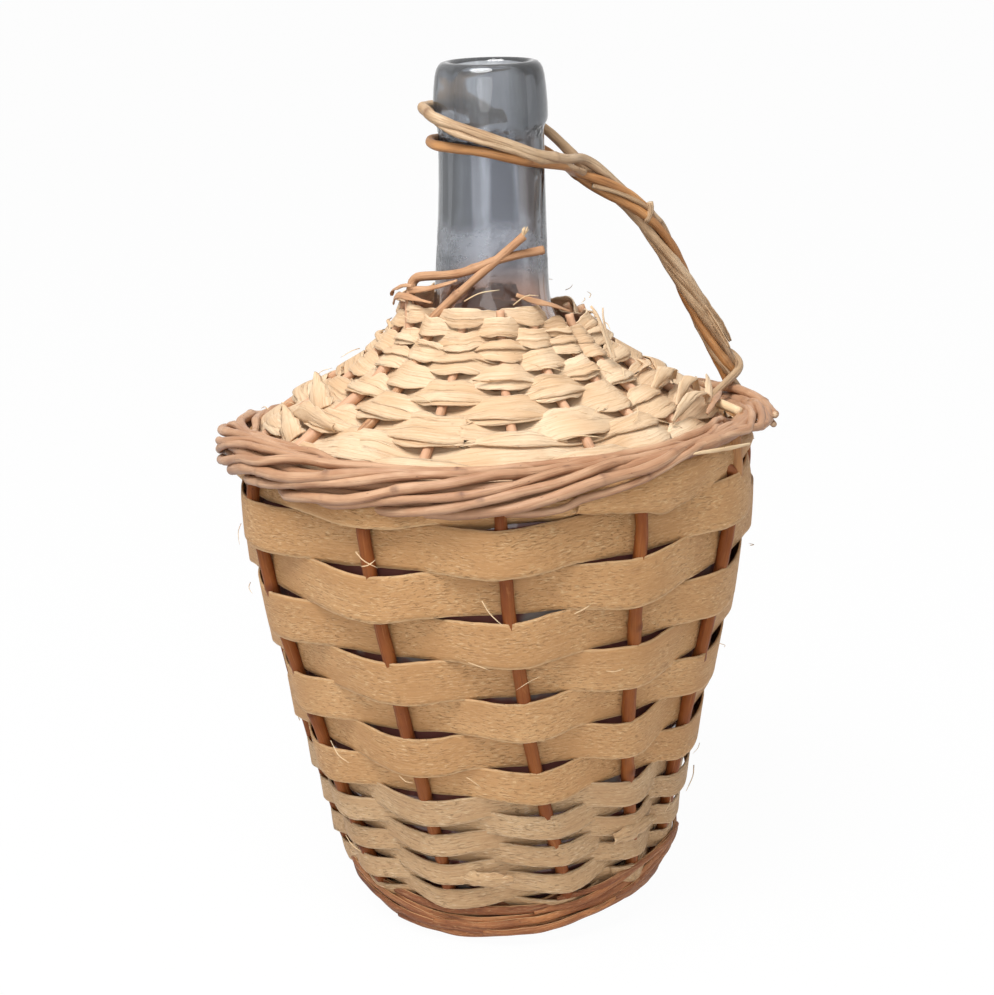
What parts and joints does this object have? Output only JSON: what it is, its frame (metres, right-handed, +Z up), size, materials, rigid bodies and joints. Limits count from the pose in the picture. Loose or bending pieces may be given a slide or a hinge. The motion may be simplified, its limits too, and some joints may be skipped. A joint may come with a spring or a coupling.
{
  "type": "wicker demijohn",
  "caption": "Clear glass demijohn in a woven willow basket with a rod border and a twisted rod handle bound round the neck.",
  "frame": {"origin": "on the floor, under the middle of the foot and of the bottle's axis", "axes": "+Z up along the bottle's axis, +X towards the side that the handle joins the border on"},
  "size_m": [0.254, 0.2528, 0.38],
  "materials": {
    "clear_glass": "smooth clear glass with a faint blue-grey tint",
    "willow_splint": "flat split willow, dry and unvarnished",
    "pale_split_willow": "pale fibrous split willow, frayed",
    "stake_willow": "round willow rod with red-brown bark",
    "peeled_willow": "round peeled willow rod, satin",
    "foot_bark": "red-brown willow bark strip",
    "handle_willow": "orange-brown willow rod, satin"
  },
  "bodies": {
    "root": {"glass_bottle": "clear_glass", "stake_01": "stake_willow", "stake_02": "stake_willow", "stake_03": "stake_willow", "stake_04": "stake_willow", "stake_05": "stake_willow", "stake_06": "stake_willow", "stake_07": "stake_willow", "stake_08": "stake_willow", "stake_09": "stake_willow", "stake_10": "stake_willow", "stake_11": "stake_willow", "cone_rib_1": "peeled_willow", "cone_rib_2": "peeled_willow", "cone_rib_3": "peeled_willow", "cone_rib_4": "peeled_willow", "cone_rib_5": "peeled_willow", "cone_rib_6": "peeled_willow", "wide_splint_1": "willow_splint", "wide_splint_2": "willow_splint", "wide_splint_3": "willow_splint", "wide_splint_4": "willow_splint", "narrow_splint_1": "willow_splint", "narrow_splint_2": "willow_splint", "narrow_splint_3": "willow_splint", "narrow_splint_4": "willow_splint", "cone_strip_1": "pale_split_willow", "cone_strip_2": "pale_split_willow", "cone_strip_3": "pale_split_willow", "cone_strip_4": "pale_split_willow", "base_strip": "willow_splint", "foot_ring": "foot_bark", "heel_band": "foot_bark", "rim_core_rod": "peeled_willow", "rim_rod_1": "peeled_willow", "rim_rod_2": "peeled_willow", "rim_rod_3": "peeled_willow", "rim_rod_4": "peeled_willow", "rim_rod_5": "peeled_willow", "rim_rod_6": "peeled_willow", "handle_rod_upper": "handle_willow", "handle_rod_lower": "handle_willow"}
  },
  "joints": []
}
